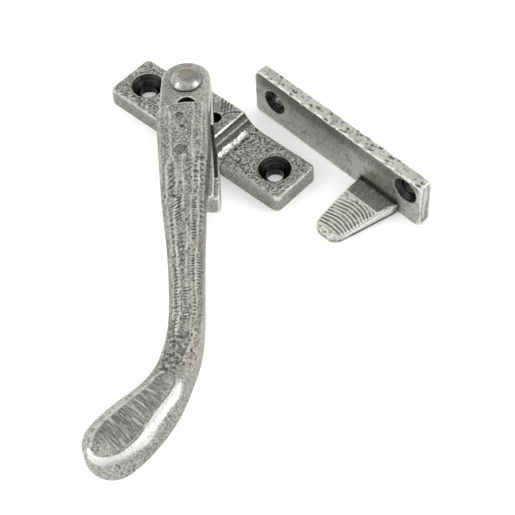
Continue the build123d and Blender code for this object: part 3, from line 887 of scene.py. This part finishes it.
PEWTER = pewter("pewter", (0.200, 0.200, 0.182), (0.390, 0.390, 0.358))
STEEL = pewter("plain_steel", (0.22, 0.21, 0.20), (0.42, 0.41, 0.40), rough=0.35, grit=0.5, bump=0.15)
DOME = pewter("burnished_dome", (0.17, 0.165, 0.155), (0.27, 0.265, 0.25), rough=0.30, grit=0.5, bump=0.15)
BLACK = pewter("black_oxide", (0.012, 0.012, 0.012), (0.03, 0.03, 0.031), rough=0.35, bump=0.3)

# --- pieces: node, name, voxel in millimetres, relief, frame, smoothing, body, slot, material ---

ON_PLATE = (0.0, (0, 0))
ON_HANDLE = (HANDLE_ANGLE, (0, 0))
ON_KEEP = (KEEP_ANGLE, KEEP_CENTRE)
PIECES = [
    ("base_plate", "base_plate_forged", 0.26, work_base, ON_PLATE, 3, "base", "plate_pewter", PEWTER),
    ("pivot_rivet", "pivot_rivet_burnished", 0.18, work_dome, ON_PLATE, 4, "base", "rivet_polished", DOME),
    ("handle", "handle_forged", 0.25, work_handle, ON_HANDLE, 4, "handle", "handle_pewter", PEWTER),
    ("nose", "nose_forged", 0.28, work_nose, ON_HANDLE, 4, "handle", "nose_pewter", PEWTER),
    ("nose_rivets", "nose_rivets_dressed", 0.16, work_rivets, ON_HANDLE, 1, "handle", "nose_rivets", PEWTER),
    ("keep_plate", "keep_plate_forged", 0.26, work_keep, ON_KEEP, 2, "keep", "keep_pewter", PEWTER),
    ("keep_tongue", "keep_tongue_filed", 0.18, work_tongue, ON_KEEP, 4, "keep", "tongue_filed", PEWTER),
]
for *about, finish in PIECES:
    made = worked_piece(*about)
    made.data.materials.clear()
    made.data.materials.append(finish)

for name, finish in (("friction_washer", STEEL), ("lock_screw", BLACK)):
    NODES[name].data.materials.clear()
    NODES[name].data.materials.append(finish)

# --- floor, light and camera: metres and watts ---

FLOOR_HALF = 3.0
FLOOR_GREY = 0.93
FLOOR_GLOW = 0.22
SKY = 1.03
LAMP_AIM = (0.046, -0.023, 0.0)
CAMERA_TARGET = (0.04624, -0.02286, 0.0)
CAMERA_DISTANCE = 0.4076
CAMERA_TURN = (45.243, 52.727, 3.979)    # azimuth, elevation and roll
SENSOR = 36.0
LENS = 106.4


def floor():
    h = FLOOR_HALF
    mesh = bpy.data.meshes.new("floor")
    mesh.from_pydata([(-h, -h, 0), (h, -h, 0), (h, h, 0), (-h, h, 0)], [], [(0, 1, 2, 3)])
    made = bpy.data.objects.new("floor", mesh)
    bpy.context.scene.collection.objects.link(made)
    paper = bpy.data.materials.new("paper")
    paper.use_nodes = True
    surface = paper.node_tree.nodes["Principled BSDF"].inputs
    surface["Base Color"].default_value = (FLOOR_GREY, FLOOR_GREY, FLOOR_GREY, 1)
    surface["Roughness"].default_value = 0.9
    surface["Specular IOR Level"].default_value = 0.0
    surface["Emission Color"].default_value = (1, 1, 1, 1)
    surface["Emission Strength"].default_value = FLOOR_GLOW
    mesh.materials.append(paper)


def softbox(name, direction, distance, size, power):
    lamp = bpy.data.lights.new(name, "AREA")
    lamp.shape = "DISK"
    lamp.size = size
    lamp.energy = power
    made = bpy.data.objects.new(name, lamp)
    bpy.context.scene.collection.objects.link(made)
    away = Vector(direction).normalized()
    made.location = Vector(LAMP_AIM) + away * distance
    made.rotation_mode = "QUATERNION"
    made.rotation_quaternion = away.to_track_quat("Z", "Y")


def camera():
    lens = bpy.data.cameras.new("camera")
    lens.sensor_width = SENSOR
    lens.lens = LENS
    made = bpy.data.objects.new("camera", lens)
    bpy.context.scene.collection.objects.link(made)
    a, e, r = (math.radians(x) for x in CAMERA_TURN)
    back = Vector((math.sin(a) * math.cos(e), -math.cos(a) * math.cos(e), math.sin(e)))
    right = Vector((math.cos(a), math.sin(a), 0))
    up = back.cross(right)
    across = right * math.cos(r) - up * math.sin(r)
    above = right * math.sin(r) + up * math.cos(r)
    turn = Matrix((across, above, back)).transposed()
    made.location = Vector(CAMERA_TARGET) + back * CAMERA_DISTANCE
    made.rotation_mode = "QUATERNION"
    made.rotation_quaternion = turn.to_quaternion()
    lens.clip_start = 0.01
    bpy.context.scene.camera = made


def sky():
    world = bpy.data.worlds.new("studio")
    world.use_nodes = True
    background = world.node_tree.nodes["Background"].inputs
    background["Color"].default_value = (1, 1, 1, 1)
    background["Strength"].default_value = SKY
    bpy.context.scene.world = world


floor()
sky()
softbox("key", (0.62, 0.48, 0.60), 0.8, 0.45, 1.3)
softbox("top", (-0.50, 0.40, 0.80), 1.2, 1.2, 1.1)
softbox("fill", (-0.43, -0.68, 0.6), 0.8, 0.36, 1.0)
camera()
bpy.context.scene.view_settings.view_transform = "Standard"
